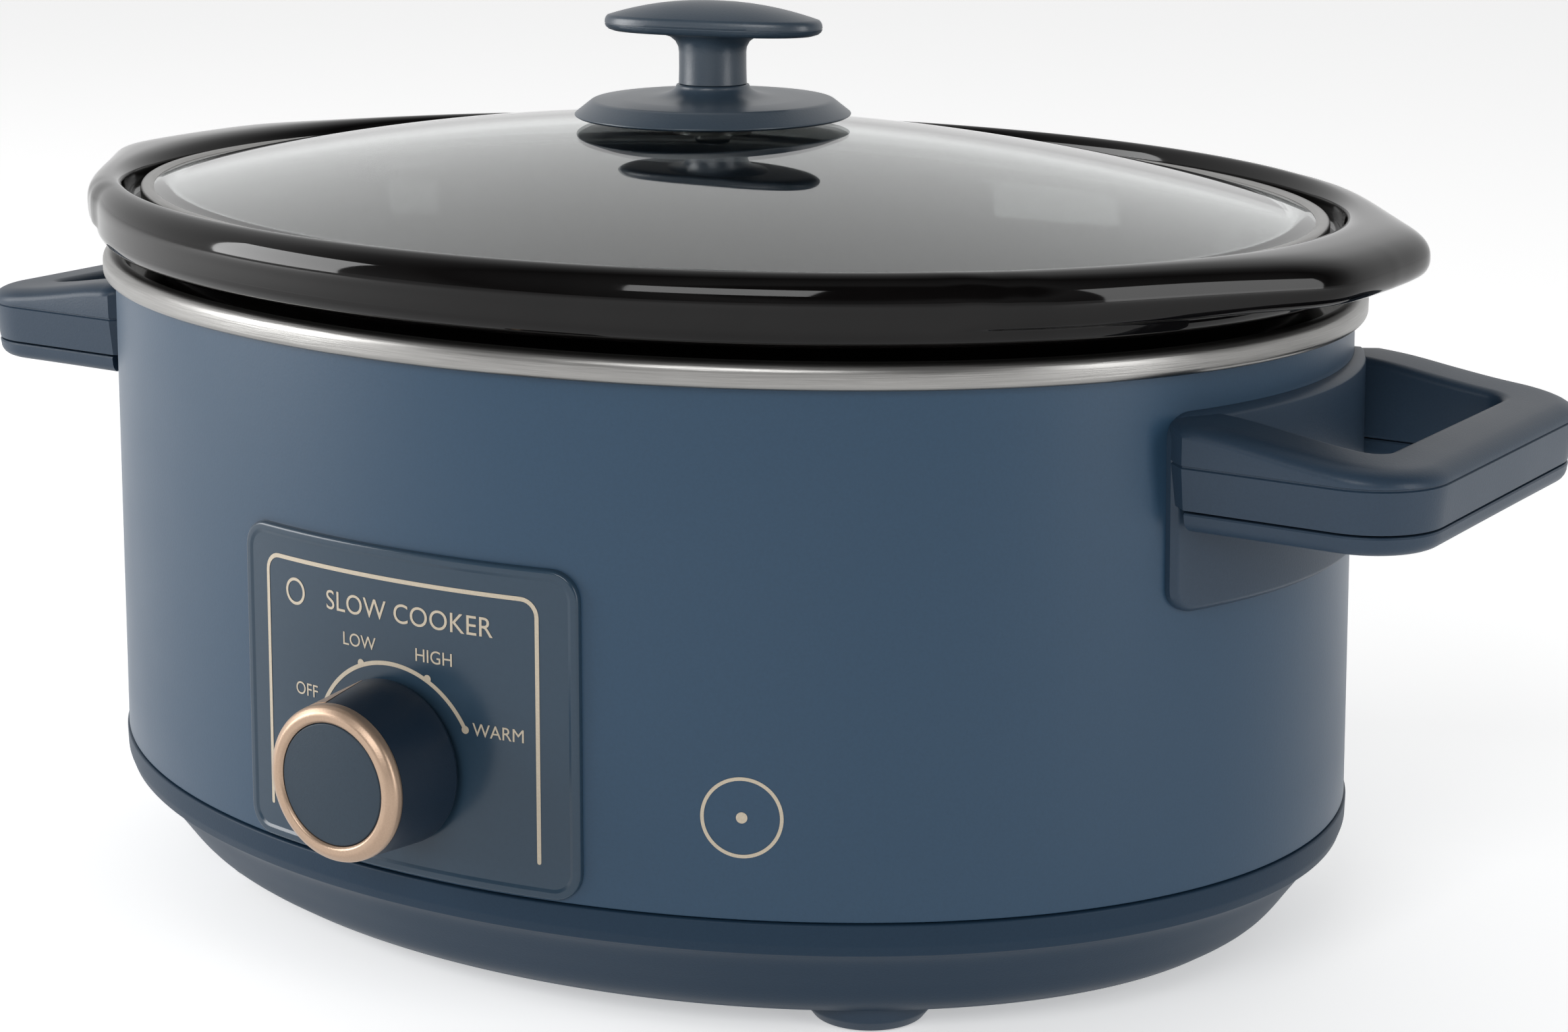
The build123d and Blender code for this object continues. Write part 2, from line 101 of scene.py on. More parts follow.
HANDLE_SEAM_Z = 127.4       # where a handle meets its separate underside

# ---- geometry helpers: points are in millimetres, with the oval's centre at 0, 0 ----


def smooth_path(points, steps=6):
    """Catmull-Rom curve through points of any dimension, ends included."""
    p = np.array(points, float)
    p = np.vstack([2 * p[0] - p[1], p, 2 * p[-1] - p[-2]])
    out = []
    for i in range(1, len(p) - 2):
        for k in range(steps):
            t = k / steps
            a, b, c, d = p[i - 1], p[i], p[i + 1], p[i + 2]
            out.append(0.5 * (2 * b + (c - a) * t + (2 * a - 5 * b + 4 * c - d) * t ** 2
                              + (3 * b - a - 3 * c + d) * t ** 3))
    out.append(p[-2])
    return np.array(out)


def rounded(points, closed=True, steps=5):
    """Path through (u, v, radius) corners, with an arc at each corner that has a radius."""
    p = [np.array(q[:2], float) for q in points]
    radii = [q[2] if len(q) > 2 else 0 for q in points]
    out, n = [], len(points)
    for i in range(n):
        here, r = p[i], radii[i]
        if r <= 0 or (not closed and i in (0, n - 1)):
            out.append(here)
            continue
        before, after = p[i - 1] - here, p[(i + 1) % n] - here
        before_length, after_length = np.linalg.norm(before), np.linalg.norm(after)
        before, after = before / before_length, after / after_length
        half = math.acos(max(-1, min(1, before @ after))) / 2
        reach = min(r / math.tan(half), 0.49 * before_length, 0.49 * after_length)
        r = reach * math.tan(half)
        middle = (before + after) / np.linalg.norm(before + after)
        centre = here + middle * r / math.sin(half)
        start, end = here + before * reach - centre, here + after * reach - centre
        first = math.atan2(start[1], start[0])
        turn = (math.atan2(end[1], end[0]) - first + math.pi) % (2 * math.pi) - math.pi
        for k in range(steps + 1):
            a = first + turn * k / steps
            out.append(centre + r * np.array([math.cos(a), math.sin(a)]))
    return np.array(out)


def make_piece(name, verts, faces, body, material, nodes=(), sharp=35, mirror_x=False):
    """Object from points in millimetres, on its body and the CAD nodes that it stands for."""
    pts = np.array(verts, float)
    if mirror_x:
        pts = pts * [-1, 1, 1]
    pts = (pts + [0, CENTRE_Y, 0]) * MM
    mesh = bpy.data.meshes.new(name)
    mesh.from_pydata(pts.tolist(), [], [list(map(int, f)) for f in faces])
    work = bmesh.new()
    work.from_mesh(mesh)
    bmesh.ops.remove_doubles(work, verts=work.verts, dist=1e-7)
    bmesh.ops.recalc_face_normals(work, faces=work.faces)
    work.to_mesh(mesh)
    work.free()
    mesh.shade_smooth()
    mesh.set_sharp_from_angle(angle=math.radians(sharp))
    obj = bpy.data.objects.new(name, mesh)
    bpy.context.scene.collection.objects.link(obj)
    mesh.materials.append(material)
    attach(obj, body)
    if nodes:
        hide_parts(*nodes)
    return obj


def loft_rings(rings, loop=False, cap=(False, False)):
    """Points and faces of a surface through rings with equal counts."""
    rings = [np.array(r, float) for r in rings]
    n, m = len(rings[0]), len(rings)
    verts = np.vstack(rings)
    faces = []
    for i in range(m if loop else m - 1):
        j = (i + 1) % m
        for k in range(n):
            q = (k + 1) % n
            faces.append((i * n + k, i * n + q, j * n + q, j * n + k))
    if cap[0]:
        faces.append(tuple(range(n))[::-1])
    if cap[1]:
        faces.append(tuple(range((m - 1) * n, m * n)))
    return verts, faces


def oval_ring(inset, z, a=BODY_A, b=BODY_B, n=RING_STEPS):
    """Level ellipse with half-sizes a and b, drawn in by inset."""
    t = np.linspace(0, 2 * math.pi, n, endpoint=False)
    return np.column_stack([(a - inset) * np.cos(t), (b - inset) * np.sin(t), np.full(n, z)])


def oval_loft(profile, a=BODY_A, b=BODY_B, loop=True, cap=(False, False)):
    """Surface through ovals at the (inset, z) points of a profile."""
    return loft_rings([oval_ring(p[0], p[1], a, b) for p in profile], loop, cap)


def circle_ring(r, z, n=96):
    t = np.linspace(0, 2 * math.pi, n, endpoint=False)
    return np.column_stack([r * np.cos(t), r * np.sin(t), np.full(n, z)])


def lathe(profile, loop=True, cap=(False, False), n=96):
    """Surface turned about +Z from the (radius, z) points of a profile."""
    return loft_rings([circle_ring(p[0], p[1], n) for p in profile], loop, cap)


def shifted(verts, x, y, z=0.0):
    return np.array(verts) + [x, y, z]


def to_front(verts):
    """Turns a shape made about +Z so that its axis points to the front (-Y)."""
    v = np.array(verts, float)
    return np.column_stack([v[:, 0], -v[:, 2], v[:, 1]])


def wall_inset(z):
    """How far the wall leans in at a height."""
    return WALL_TAPER * (z - SEAM_Z) / (WALL_TOP_Z - SEAM_Z)


# Distance round the front half of the seam's ellipse, measured from the middle of the front.
_turns = np.linspace(-math.pi / 2, math.pi / 2, 4001)
_line = np.column_stack([BODY_A * np.sin(_turns), -BODY_B * np.cos(_turns)])
_arc = np.concatenate([[0], np.cumsum(np.linalg.norm(np.diff(_line, axis=0), axis=1))])
_arc -= _arc[len(_arc) // 2]


def on_front(s, z, proud):
    """Points on the front wall: s is the distance along the wall to the right of the middle."""
    turn = np.interp(s, _arc, _turns)
    inset = wall_inset(z)
    a, b = BODY_A - inset, BODY_B - inset
    nx, ny = np.sin(turn) / a, -np.cos(turn) / b
    scale = proud / np.hypot(nx, ny)
    return np.column_stack([a * np.sin(turn) + nx * scale, -b * np.cos(turn) + ny * scale, z])


def on_end(y, z, proud):
    """Points on the wall at its +X end: y is measured straight across."""
    inset = wall_inset(z)
    a, b = BODY_A - inset, BODY_B - inset
    turn = np.arcsin(np.clip(y / b, -1, 1))
    nx, ny = np.cos(turn) / a, np.sin(turn) / b
    scale = proud / np.hypot(nx, ny)
    return np.column_stack([a * np.cos(turn) + nx * scale, b * np.sin(turn) + ny * scale, z])


# ---- materials ----


def set_inputs(shader_node, values):
    for name, value in values.items():
        shader_node.inputs[name].default_value = value


def new_node(tree, kind, values=None):
    made = tree.nodes.new(kind)
    set_inputs(made, values or {})
    return made


def linear(srgb):
    return [c / 12.92 if c <= 0.04045 else ((c + 0.055) / 1.055) ** 2.4 for c in srgb]


def colour(r, g, b):
    return [*linear([r / 255, g / 255, b / 255]), 1.0]


NOISE_LOW, NOISE_HIGH = 0.3, 0.7    # the part of the noise that colour and roughness spread over
BROAD_GRAIN = 14.0
RELIEF_DEPTH = 0.0004
IOR = 1.5


def finish(name, base, roughness, metallic=0.0, spread=0.06, grain=900.0, bump=0.02, rough_spread=0.04,
           stretch=(1, 1, 1), specular=0.5, clear=0.0):
    """Principled finish: fine noise varies its colour and relief, and broad noise its roughness."""
    mat = bpy.data.materials.new(name)
    mat.use_nodes = True
    tree = mat.node_tree
    link = tree.links.new
    shader = tree.nodes["Principled BSDF"]
    set_inputs(shader, {"Metallic": metallic, "Specular IOR Level": specular, "Transmission Weight": clear,
                        "IOR": IOR})
    place = new_node(tree, "ShaderNodeTexCoord")
    scale = new_node(tree, "ShaderNodeMapping", {"Scale": stretch})
    link(place.outputs["Object"], scale.inputs["Vector"])
    fine = new_node(tree, "ShaderNodeTexNoise", {"Scale": grain, "Detail": 4.0})
    link(scale.outputs["Vector"], fine.inputs["Vector"])
    broad = new_node(tree, "ShaderNodeTexNoise", {"Scale": BROAD_GRAIN, "Detail": 3.0})
    link(scale.outputs["Vector"], broad.inputs["Vector"])
    shades = new_node(tree, "ShaderNodeValToRGB")
    dark, light = shades.color_ramp.elements
    dark.position, light.position = NOISE_LOW, NOISE_HIGH
    dark.color = [c * (1 - spread) for c in base[:3]] + [1]
    light.color = [min(1, c * (1 + spread)) for c in base[:3]] + [1]
    link(fine.outputs["Fac"], shades.inputs["Fac"])
    link(shades.outputs["Color"], shader.inputs["Base Color"])
    span = new_node(tree, "ShaderNodeMapRange", {
        "From Min": NOISE_LOW, "From Max": NOISE_HIGH,
        "To Min": max(0.0, roughness - rough_spread), "To Max": min(1.0, roughness + rough_spread)})
    link(broad.outputs["Fac"], span.inputs["Value"])
    link(span.outputs["Result"], shader.inputs["Roughness"])
    relief = new_node(tree, "ShaderNodeBump", {"Strength": bump, "Distance": RELIEF_DEPTH})
    link(fine.outputs["Fac"], relief.inputs["Height"])
    link(relief.outputs["Normal"], shader.inputs["Normal"])
    return mat


def blue_finish(name, base, roughness, grain=1800, bump=0.10, spread=0.05, specular=0.3):
    return finish(name, base, roughness, spread=spread, grain=grain, bump=bump, specular=specular)


paint = blue_finish("satin_blue_paint", colour(38, 62, 83), 0.36, 1400, 0.05, spread=0.04)
plastic = blue_finish("blue_plastic", colour(36, 52, 68), 0.42)
# Lid knob plastic: a lighter copy of the blue plastic, with painted sheen for the light that falls on its
# upward faces.
lit_lid_blue = blue_finish("lid_plastic_painted_sheen", colour(44, 58, 71), 0.36, specular=0.65)
# Base plastic: a darker copy of the blue plastic, with painted shade for the little light that reaches the
# base low down, near the floor.
shaded_base_blue = blue_finish("base_plastic_painted_shade", colour(26, 45, 62), 0.45, specular=0.15)
# Knob barrel: a darker copy of the blue plastic, with painted shade for the shadow and dark reflection that
# the barrel sits in.
shaded_barrel_blue = blue_finish("barrel_plastic_painted_shade", colour(17, 31, 45), 0.4, 2200, 0.08)
face_blue = blue_finish("blue_face_plastic", colour(31, 47, 60), 0.45, 2000, 0.08)
panel_blue = blue_finish("blue_gloss_plastic", colour(37, 55, 70), 0.2, 900, 0.02, 0.03, 0.35)
steel = finish("stainless_steel", colour(142, 141, 139), 0.33, metallic=1.0, spread=0.10, grain=500,
               bump=0.12, stretch=(0.15, 0.15, 6.0))
zinc = finish("zinc_plate", colour(190, 190, 188), 0.32, metallic=1.0, grain=700, bump=0.05)
aluminium = finish("mill_aluminium", colour(205, 206, 208), 0.35, metallic=1.0, grain=400, bump=0.08,
                   stretch=(1, 1, 5))
fibreglass = finish("fibreglass_wrap", colour(222, 214, 196), 0.9, spread=0.2, grain=350, bump=0.8,
                    stretch=(1, 1, 3))
brass = finish("brass", colour(205, 170, 100), 0.3, metallic=1.0, grain=500)
white_plastic = finish("white_plastic", colour(232, 230, 222), 0.5, grain=1500, bump=0.05)
black_plastic = finish("black_plastic", colour(24, 24, 25), 0.5, grain=1500, bump=0.1)
rose = finish("rose_gold", colour(170, 146, 126), 0.38, metallic=0.8, spread=0.05, grain=2600, bump=0.08)
gold_print = finish("gold_print", colour(172, 161, 143), 0.45, metallic=0.15, spread=0.07, grain=3000,
                    bump=0.04)
glaze = finish("black_glaze", colour(7, 6, 6), 0.055, spread=0.3, grain=60, bump=0.010, rough_spread=0.015,
               specular=0.22)
glass = finish("tempered_glass", colour(238, 242, 241), 0.015, spread=0.01, grain=20, bump=0.006,
               rough_spread=0.01, clear=1.0)
rubber = finish("black_rubber", colour(28, 28, 29), 0.75, spread=0.15, grain=900, bump=0.2)

SLOT_FINISH = {
    "painted_blue": paint, "plastic_blue": plastic, "gloss_blue": panel_blue, "stainless": steel,
    "zinc": zinc, "aluminium": aluminium, "fibreglass": fibreglass, "brass": brass,
    "plastic_white": white_plastic, "plastic_black": black_plastic, "rose_gold": rose,
    "black_glaze": glaze, "glass": glass, "rubber": rubber,
}
for part in frame["record"]["subparts"]:
    cad = frame["nodes"][part["node"]]
    cad.data.materials.clear()
    cad.data.materials.append(SLOT_FINISH[part["material_slot"]])

# ---- body ----


# A profile of the body, crock or liner is a list of (inset from the seam's oval, height) points.

PAN_FLOOR_Z = PAN_LOW_Z + 2.5


def build_base():
    outside = smooth_path([(20.0, PAN_LOW_Z), (14.6, 11.0), (9.4, 18.0), (4.6, 24.6), (1.7, 27.4)], 5)
    crease = rounded([(1.7, 27.4), (0.5, 27.9, 0.6), (-0.4, 30.5, 2.5), (-0.5, 35.6, 0.5), (0.9, 35.75)],
                     closed=False)
    lip = [(1.3, 35.75), (1.4, 39.5), (3.2, 39.5)]
    inside = [(3.2, 32.0), (6.6, 28.6), (11.8, 20.4), (17.2, 13.6), (23.0, PAN_FLOOR_Z)]
    floor_in = [(40.0, PAN_FLOOR_Z), (80.0, PAN_FLOOR_Z)]
    floor_out = [(80.0, PAN_LOW_Z), (40.0, PAN_LOW_Z), (23.0, PAN_LOW_Z)]
    profile = floor_out + list(outside) + list(crease)[1:] + lip + inside + floor_in
    verts, faces = oval_loft(profile, loop=False, cap=(True, True))
    # The base takes the darker copy of the blue plastic, with painted shade in its colour.
    make_piece("base_shell", verts, faces, "base_unit", shaded_base_blue, ["base_pan"], sharp=28)


def build_feet():
    top = PAN_LOW_Z + 1.0
    foot = rounded([(0.2, 0.6), (13.2, 0.6, 0.3), (15.2, 3.2, 1.2), (15.3, top), (0.2, top)], closed=False)
    pad = rounded([(0.2, 0.0), (9.0, 0.0, 0.6), (9.0, 2.0), (0.2, 2.0)], closed=False)
    foot_verts, foot_faces = lathe(foot, loop=False, cap=(True, True))
    pad_verts, pad_faces = lathe(pad, loop=False, cap=(True, True))
    for name in ("foot_front_left", "foot_rear_left", "foot_front_right", "foot_rear_right"):
        x, y, _ = middle_mm(name)
        y -= CENTRE_Y
        make_piece(name + "_ring", shifted(foot_verts, x, y), foot_faces, "base_unit",
                   plastic, [name])
        make_piece(name + "_pad", shifted(pad_verts, x, y), pad_faces, "base_unit", rubber,
                   ["foot_pads"])


def build_shell():
    thickness = 1.0
    profile = rounded([(0.5, SEAM_Z - 0.05), (0.0, SEAM_Z + 0.1, 0.4), (WALL_TAPER, WALL_TOP_Z),
                       (WALL_TAPER + thickness, WALL_TOP_Z), (thickness + 0.25, SEAM_Z - 0.05)])
    low, high = profile[:-3], profile[-3:]
    middle = [(WALL_TAPER * s, SEAM_Z + (WALL_TOP_Z - SEAM_Z) * s) for s in np.linspace(0, 1, 9)[1:-1]]
    verts, faces = oval_loft(list(low) + middle + list(high))
    make_piece("shell", verts, faces, "base_unit", paint, ["housing_shell"], sharp=28)


def build_well():
    """The liner and the bright bead that it is rolled into at the top."""
    bead = rounded([(11.0, 150.0), (8.8, 154.3, 3), (4.0, 156.9, 1.5), (-0.95, 156.9, 1.4),
                    (-0.95, 163.0, 3.0), (4.0, 163.0, 2.6), (6.0, 158.0, 3.0), (9.6, 155.2, 3.0),
                    (12.0, 150.4)], closed=False, steps=8)
    floor_in = rounded([(12.0, 150.4), (16.0, 51.4, 6), (24.0, 45.0, 6), (60.0, 45.0)], closed=False)
    floor_out = rounded([(60.0, 44.0), (23.0, 44.0, 6), (15.0, 51.0, 6), (11.0, 150.0)], closed=False)
    profile = list(floor_out) + list(bead)[1:-1] + list(floor_in)
    verts, faces = oval_loft(profile, loop=False, cap=(True, True))
    make_piece("liner", verts, faces, "base_unit", steel, ["heating_well"], sharp=40)


# ---- control panel ----


def rounded_rect(half_w, low_z, high_z, radius, n_side=28, n_corner=8):
    """Outline as (s, z) points, anticlockwise, with many points along each side."""
    corners = [(half_w, low_z), (half_w, high_z), (-half_w, high_z), (-half_w, low_z)]
    arcs = []
    for i, (s, z) in enumerate(corners):
        centre = np.array([s - math.copysign(radius, s), z + (radius if z == low_z else -radius)])
        turns = [math.pi / 2 * (i - 1 + k / n_corner) for k in range(n_corner + 1)]
        arcs.append([centre + radius * np.array([math.cos(a), math.sin(a)]) for a in turns])
    outline = []
    for arc, next_arc in zip(arcs, arcs[1:] + arcs[:1]):
        start, end = arc[-1], next_arc[0]
        outline += arc
        outline += [start + (end - start) * k / n_side for k in range(1, n_side)]
    return np.array(outline)


def plate_on(place, half_w, low_z, high_z, radius, profile, fill=14):
    """Plate with a moulded edge, laid on a wall: profile is (inset, proud) from its back edge to its face."""
    middle = np.array([0.0, (low_z + high_z) / 2])

    def ring(inset, proud, share=1.0):
        outline = rounded_rect(half_w - inset, low_z + inset, high_z - inset, max(radius - inset, 0.8))
        outline = middle + (outline - middle) * share
        return place(outline[:, 0], outline[:, 1], proud)

    # Both flat sides are filled with rings that shrink almost to the middle, so that they follow the wall.
    shares = [1 - k / fill * 0.999 for k in range(1, fill + 1)]
    back = [ring(*profile[0], share) for share in shares[::-1]]
    edge = [ring(*spot) for spot in profile]
    face = [ring(*profile[-1], share) for share in shares]
    return loft_rings(back + edge + face, cap=(True, True))


PANEL_HALF, PANEL_MIDDLE = 49.05, 2.15
PANEL_CORNER = 7.0
PANEL_PROUD, PANEL_FACE = 1.6, 1.3      # the moulded edge stands a little above the face
PRINT_PROUD = PANEL_FACE + 0.06
PRINT_THICK = 0.05
GOLD_LINE = 1.0
FRAME_LEFT, FRAME_RIGHT = -38.4, 40.9
FRAME_LOW_Z, FRAME_HIGH_Z = 45.4, 106.5
FRAME_CORNER = 4.0
DIAL_CENTRE, DIAL_RADIUS = (1.5, 63.2), 23.4
DIAL_STOPS = (-62, -22, 26, 62)         # degrees clockwise from straight up
DIAL_LABELS = (("OFF", -25.3, 75.75), ("LOW", -8.0, 90.5), ("HIGH", 13.8, 90.0), ("WARM", 30.9, 74.6))
LABEL_HEIGHT, WORDS_HEIGHT, WORDS_Z = 3.2, 4.8, 98.9
CAPITAL_TO_SIZE = 1.37                  # font size over the height of its capitals


def on_panel(s, z, proud):
    return on_front(s + PANEL_MIDDLE, z, proud)


def build_panel():
    edge = rounded([(0.0, 0.3), (0.2, PANEL_PROUD, 0.9), (1.9, PANEL_PROUD, 1.0), (2.7, PANEL_FACE, 0.5),
                    (3.6, PANEL_FACE)], closed=False, steps=8)
    profile = [(0.0, 0.02), *edge]
    verts, faces = plate_on(on_panel, PANEL_HALF, PANEL_LOW_Z, PANEL_HIGH_Z, PANEL_CORNER, profile)
    make_piece("panel", verts, faces, "base_unit", panel_blue, ["control_panel"], sharp=50)


def ribbon(points, width, closed=False):
    """Flat strip along (s, z) points, as a thin solid in (s, z, height)."""
    p = np.array(points, float)
    count = len(p)
    if closed:
        before, after = np.roll(p, 1, 0), np.roll(p, -1, 0)
    else:
        before = np.vstack([p[:1] * 2 - p[1:2], p[:-1]])
        after = np.vstack([p[1:], p[-1:] * 2 - p[-2:-1]])
    steps = [p - before, after - p]
    normals = [np.column_stack([-step[:, 1], step[:, 0]]) for step in steps]
    normals = [normal / np.linalg.norm(normal, axis=1)[:, None] for normal in normals]
    mitre = normals[0] + normals[1]
    mitre /= np.linalg.norm(mitre, axis=1)[:, None]
    mitre /= np.maximum((mitre * normals[0]).sum(1), 0.4)[:, None]
    left, right = p + mitre * width / 2, p - mitre * width / 2
    low, high = np.zeros(count), np.full(count, PRINT_THICK)
    rings = [np.column_stack(edge) for edge in ((left, low), (right, low), (right, high), (left, high))]
    faces = []
    for i in range(4):
        j = (i + 1) % 4
        for k in range(count if closed else count - 1):
            q = (k + 1) % count
            faces.append((i * count + k, i * count + q, j * count + q, j * count + k))
    if not closed:
        faces.append((0, count, 2 * count, 3 * count))
        faces.append((count - 1, 4 * count - 1, 3 * count - 1, 2 * count - 1))
    return np.vstack(rings), faces


def dot(s, z, radius, n=24):
    """Flat round spot, as a thin solid in (s, z, height)."""
    low = circle_ring(radius, 0.0, n) + [s, z, 0.0]
    return loft_rings([low, low + [0.0, 0.0, PRINT_THICK]], cap=(True, True))


def even_line(a, b, step=1.5):
    a, b = np.array(a, float), np.array(b, float)
    n = max(1, int(np.linalg.norm(b - a) / step))
    return [a + (b - a) * k / n for k in range(n + 1)]


def arc_points(centre, radius, start, end, n=24):
    """Points on an arc; angles are degrees clockwise from straight up."""
    turns = np.radians(np.linspace(start, end, n))
    return [np.array([centre[0] + radius * math.sin(a), centre[1] + radius * math.cos(a)]) for a in turns]


def lettering(words, s, z, height, spacing=1.0):
    """Built-in sans letters as flat solids in (s, z, height above the print)."""
    curve = bpy.data.curves.new("words", "FONT")
    curve.body = words
    curve.align_x, curve.align_y = "CENTER", "CENTER"
    curve.size = height * CAPITAL_TO_SIZE
    curve.space_character = spacing
    curve.extrude = PRINT_THICK / 2
    curve.resolution_u = 6
    holder = bpy.data.objects.new("words", curve)
    bpy.context.scene.collection.objects.link(holder)
    bpy.context.view_layer.update()
    drawn = holder.evaluated_get(bpy.context.evaluated_depsgraph_get())
    mesh = bpy.data.meshes.new_from_object(drawn)
    verts = np.array([v.co for v in mesh.vertices])
    faces = [tuple(p.vertices) for p in mesh.polygons]
    bpy.data.objects.remove(holder)
    bpy.data.curves.remove(curve)
    bpy.data.meshes.remove(mesh)
    verts[:, 1] -= (verts[:, 1].max() + verts[:, 1].min()) / 2
    return verts + [s, z, PRINT_THICK / 2], faces


def joined(parts):
    """One set of points and faces from several."""
    verts, faces, count = [], [], 0
    for part_verts, part_faces in parts:
        verts.append(np.array(part_verts, float))
        faces += [tuple(int(i) + count for i in face) for face in part_faces]
        count += len(part_verts)
    return np.vstack(verts), faces


def print_on_front(name, parts, proud):
    verts, faces = joined(parts)
    placed = on_front(verts[:, 0], verts[:, 1], verts[:, 2] + proud)
    make_piece(name, placed, faces, "base_unit", gold_print, sharp=30)


def build_frame_line():
    left, right, low, high, r = FRAME_LEFT, FRAME_RIGHT, FRAME_LOW_Z, FRAME_HIGH_Z, FRAME_CORNER
    line = even_line((left, low), (left, high - r))
    line += arc_points((left + r, high - r), r, -90, 0, 8)[1:]
    line += even_line((left + r, high), (right - r, high))[1:]
    line += arc_points((right - r, high - r), r, 0, 90, 8)[1:]
    line += even_line((right, high - r), (right, low))[1:]
    ends = [dot(left, low, GOLD_LINE / 2), dot(right, low, GOLD_LINE / 2)]
    print_on_front("panel_frame_line", [ribbon(line, GOLD_LINE)] + ends, PRINT_PROUD)


def build_dial():
    dial = ribbon(arc_points(DIAL_CENTRE, DIAL_RADIUS, DIAL_STOPS[0], DIAL_STOPS[-1], 64), GOLD_LINE)
    marks = []
    for angle, lift in zip(DIAL_STOPS[1:], (0.5, 0.5, 0.0)):
        s, z = arc_points(DIAL_CENTRE, DIAL_RADIUS + lift, angle, angle, 1)[0]
        marks.append(dot(s, z, 0.95))
    print_on_front("dial_arc", [dial] + marks, PRINT_PROUD)
    labels = [lettering(word, s, z, LABEL_HEIGHT) for word, s, z in DIAL_LABELS]
    print_on_front("dial_labels", labels, PRINT_PROUD)


def build_words():
    words = lettering("SLOW COOKER", 5.7, WORDS_Z, WORDS_HEIGHT, spacing=1.02)
    print_on_front("panel_words", [words], PRINT_PROUD)
    ring = arc_points((-28.6, WORDS_Z), 2.9, 0, 360, 49)[:-1]
    print_on_front("panel_motif", [ribbon(ring, 0.7, closed=True)], PRINT_PROUD)


def build_wall_mark():
    """Plain ring with a dot, printed low on the wall."""
    s, z = 88.2, 60.0
    ring = arc_points((s, z), 9.0, 0, 360, 73)[:-1]
    print_on_front("wall_mark", [ribbon(ring, 0.8, closed=True), dot(s, z, 1.3)], 0.04)


# ---- control knob ----

KNOB_BACK_R, KNOB_FRONT_R, RING_INNER_R = 19.7, 18.45, 14.45
KNOB_GAP = 0.45             # between the panel and the back of the knob
KNOB_FRONT = -KNOB_FACE_Y
KNOB_BACK = BODY_B - wall_inset(KNOB_Z) + PANEL_PROUD + KNOB_GAP
RING_DEPTH = 3.6
RING_BACK = KNOB_FRONT - RING_DEPTH
POINTER_ANGLE = -22.0       # degrees clockwise from straight up, at LOW
POINTER_BACK, POINTER_FRONT = 0.6, 7.2


def knob_piece(name, shape, material, cad_node):
    verts, faces = shape
    placed = shifted(to_front(verts), KNOB_X, 0, KNOB_Z)
    make_piece(name, placed, faces, "control_knob", material, [cad_node])


def build_barrel():
    inside_r = RING_INNER_R - 0.6
    barrel = rounded([(9.0, KNOB_BACK), (KNOB_BACK_R - 0.4, KNOB_BACK, 0.5),
                      (KNOB_BACK_R, KNOB_BACK + 1.0, 0.5), (KNOB_FRONT_R - 0.1, RING_BACK),
                      (inside_r, RING_BACK), (inside_r, RING_BACK - 1.0), (0.2, RING_BACK - 1.0)],
                     closed=False)
    inner = [(0.2, KNOB_BACK + 4.0), (9.0, KNOB_BACK + 4.0)]
    shape = lathe(inner + list(barrel), loop=False, cap=(True, True), n=160)
    # The barrel takes the darker copy of the blue plastic, with painted shade in its colour.
    knob_piece("knob_barrel", shape, shaded_barrel_blue, "knob_body")


def build_ring():
    outer_r, front = KNOB_FRONT_R - 0.1, KNOB_FRONT
    ring = rounded([(outer_r, RING_BACK + 0.05, 0.2), (KNOB_FRONT_R + 0.05, RING_BACK + 0.7, 0.5),
                    (outer_r, front - 1.2, 2.4), (16.6, front, 1.6), (15.0, front - 0.1, 0.8),
                    (RING_INNER_R, front - 0.7, 0.3), (RING_INNER_R, RING_BACK + 0.05)], steps=8)
    knob_piece("knob_trim_ring", lathe(ring, n=160), rose, "knob_ring")


def build_face():
    face_r = RING_INNER_R - 0.12
    face = rounded([(0.2, RING_BACK - 0.9), (face_r, RING_BACK - 0.9), (face_r, KNOB_FRONT - 0.6, 0.4),
                    (0.2, KNOB_FRONT - 0.45)], closed=False)
    shape = lathe(face, loop=False, cap=(True, True), n=160)
    knob_piece("knob_face", shape, face_blue, "knob_cap")


def build_pointer():
    """Wedge on the barrel that widens towards the ring."""
    start, end = KNOB_BACK + 1.2, RING_BACK
    rings = []
    for share in np.linspace(0, 1, 16):
        depth = start + (end - start) * share
        r = KNOB_BACK_R + (KNOB_FRONT_R - KNOB_BACK_R) * share
        half = (POINTER_BACK + (POINTER_FRONT - POINTER_BACK) * share) / 2 / r
        turns = math.radians(POINTER_ANGLE) + np.linspace(-half, half, 9)
        top = [((r + 0.06) * math.sin(a), (r + 0.06) * math.cos(a), depth) for a in turns]
        under = [((r - 0.7) * math.sin(a), (r - 0.7) * math.cos(a), depth) for a in turns[::-1]]
        rings.append(top + under)
    knob_piece("knob_marker", loft_rings(rings, cap=(True, True)), rose, "knob_pointer")


# ---- crock ----

# The grip's edge at one end in plan: distance across, and how far it falls back from the furthest reach.
LUG_LINE = [(0, 0.0), (14, -0.4), (23, -1.8), (30, -5.4), (38, -11.6), (48, -19.6), (60, -29.0), (72, -38.6),
            (84, -49.5)]
LUG_SOFTNESS = 2.2          # how gently the grip grows out of the rim
LUG_FADE_SPAN, LUG_END = 14, 92
RIM_PROUD = 2.2


def lug_reach(y):
    """How far the grip stands out beyond the rim's oval, by distance across."""
    line = smooth_path(LUG_LINE, 6)
    x = np.interp(np.abs(y), line[:, 0], LUG_REACH + line[:, 1])
    rim_x = (BODY_A + RIM_PROUD) * np.sqrt(np.clip(1 - (y / (BODY_B + RIM_PROUD)) ** 2, 0, 1))
    out = LUG_SOFTNESS * np.log1p(np.exp((x - rim_x) / LUG_SOFTNESS))
    fade = np.clip((LUG_END - np.abs(y)) / LUG_FADE_SPAN, 0, 1)
    return out * fade * fade * (3 - 2 * fade)


